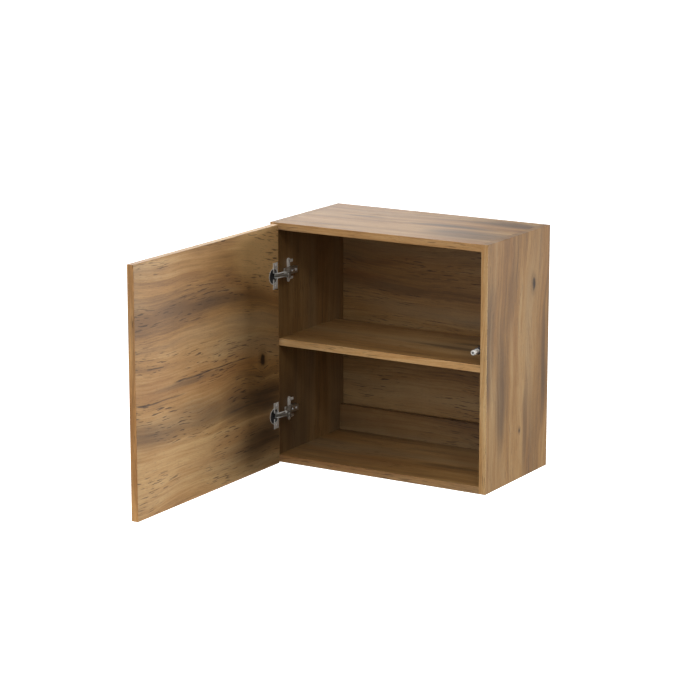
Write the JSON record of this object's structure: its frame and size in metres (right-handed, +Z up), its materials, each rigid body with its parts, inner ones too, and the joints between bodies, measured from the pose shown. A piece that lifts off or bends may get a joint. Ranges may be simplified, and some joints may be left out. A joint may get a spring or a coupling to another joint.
{
  "type": "hanging wall cabinet",
  "caption": "Square wood-finish wall cabinet with one side-hung door on two cup hinges, one shelf and a push latch.",
  "frame": {"origin": "centre of the rear face, which lies against the wall", "axes": "+X to the right seen from the front, +Y from the front towards the wall, +Z up"},
  "size_m": [0.55, 0.85, 0.55],
  "materials": {
    "oak_board": "matt oak laminate",
    "oak_edging": "matt oak edging strip",
    "beech": "plain beech dowel",
    "nickel": "nickel plate",
    "steel": "zinc-plated steel",
    "grey_plastic": "dark grey moulded plastic",
    "white_plastic": "pale grey moulded plastic"
  },
  "bodies": {
    "carcass": {"back_panel": "oak_board", "bottom_panel": "oak_board", "bottom_panel_edging": "oak_edging", "dowel_bottom_left_front": "beech", "dowel_bottom_left_rear": "beech", "dowel_bottom_right_front": "beech", "dowel_bottom_right_rear": "beech", "dowel_top_left_front": "beech", "dowel_top_left_rear": "beech", "dowel_top_right_front": "beech", "dowel_top_right_rear": "beech", "hanging_washer_left": "steel", "hanging_washer_right": "steel", "latch_housing": "grey_plastic", "latch_screw": "steel", "latch_spring": "steel", "left_side": "oak_board", "left_side_edging": "oak_edging", "lower_arm_screw_front": "steel", "lower_arm_screw_rear": "steel", "lower_back_rail": "oak_board", "lower_hinge_arm": "nickel", "lower_mounting_plate": "nickel", "lower_plate_screw_bottom": "steel", "lower_plate_screw_top": "steel", "right_side": "oak_board", "right_side_edging": "oak_edging", "shelf": "oak_board", "shelf_edging": "oak_edging", "shelf_pin_left_front": "steel", "shelf_pin_left_rear": "steel", "shelf_pin_right_front": "steel", "shelf_pin_right_rear": "steel", "top_panel": "oak_board", "top_panel_edging": "oak_edging", "upper_arm_screw_front": "steel", "upper_arm_screw_rear": "steel", "upper_hanging_rail": "oak_board", "upper_hinge_arm": "nickel", "upper_mounting_plate": "nickel", "upper_plate_screw_bottom": "steel", "upper_plate_screw_top": "steel"},
    "outer_links": {"lower_outer_link": "nickel", "upper_outer_link": "nickel"},
    "inner_links": {"lower_inner_link": "nickel", "upper_inner_link": "nickel"},
    "door_leaf": {"door": "oak_board", "door_bottom_edging": "oak_edging", "door_handle_edging": "oak_edging", "door_hinge_edging": "oak_edging", "door_top_edging": "oak_edging", "lower_cup_pin": "steel", "lower_cup_screw_bottom": "steel", "lower_cup_screw_top": "steel", "lower_hinge_cup": "nickel", "upper_cup_pin": "steel", "upper_cup_screw_bottom": "steel", "upper_cup_screw_top": "steel", "upper_hinge_cup": "nickel"},
    "plunger": {"latch_plunger": "white_plastic"}
  },
  "joints": [
    {"name": "door_swing", "type": "hinge", "parent": "outer_links", "child": "door_leaf", "pos_m": [-0.2485, -0.3115, 0], "axis": [0, 0, 1], "range_deg": [-7.56, 136]},
    {"name": "outer_link_swing", "type": "hinge", "parent": "carcass", "child": "outer_links", "pos_m": [-0.2379, -0.28406, 0], "axis": [0, 0, 1], "range_deg": [-46.02, 2.58]},
    {"name": "inner_link_swing", "type": "hinge", "parent": "carcass", "child": "inner_links", "pos_m": [-0.22915, -0.28646, 0], "axis": [0, 0, 1], "range_deg": [-40.02, 2.24]},
    {"name": "plunger_slide", "type": "slide", "parent": "carcass", "child": "plunger", "axis": [0, 1, 0], "range_m": [-0.00076, 0.01351]}
  ],
  "couplings": [
    {"joint": "outer_link_swing", "follows": "door_swing", "ratio": -0.33824},
    {"joint": "inner_link_swing", "follows": "door_swing", "ratio": -0.29412},
    {"joint": "plunger_slide", "follows": "door_swing", "m_per_rad": 0.0056875}
  ]
}
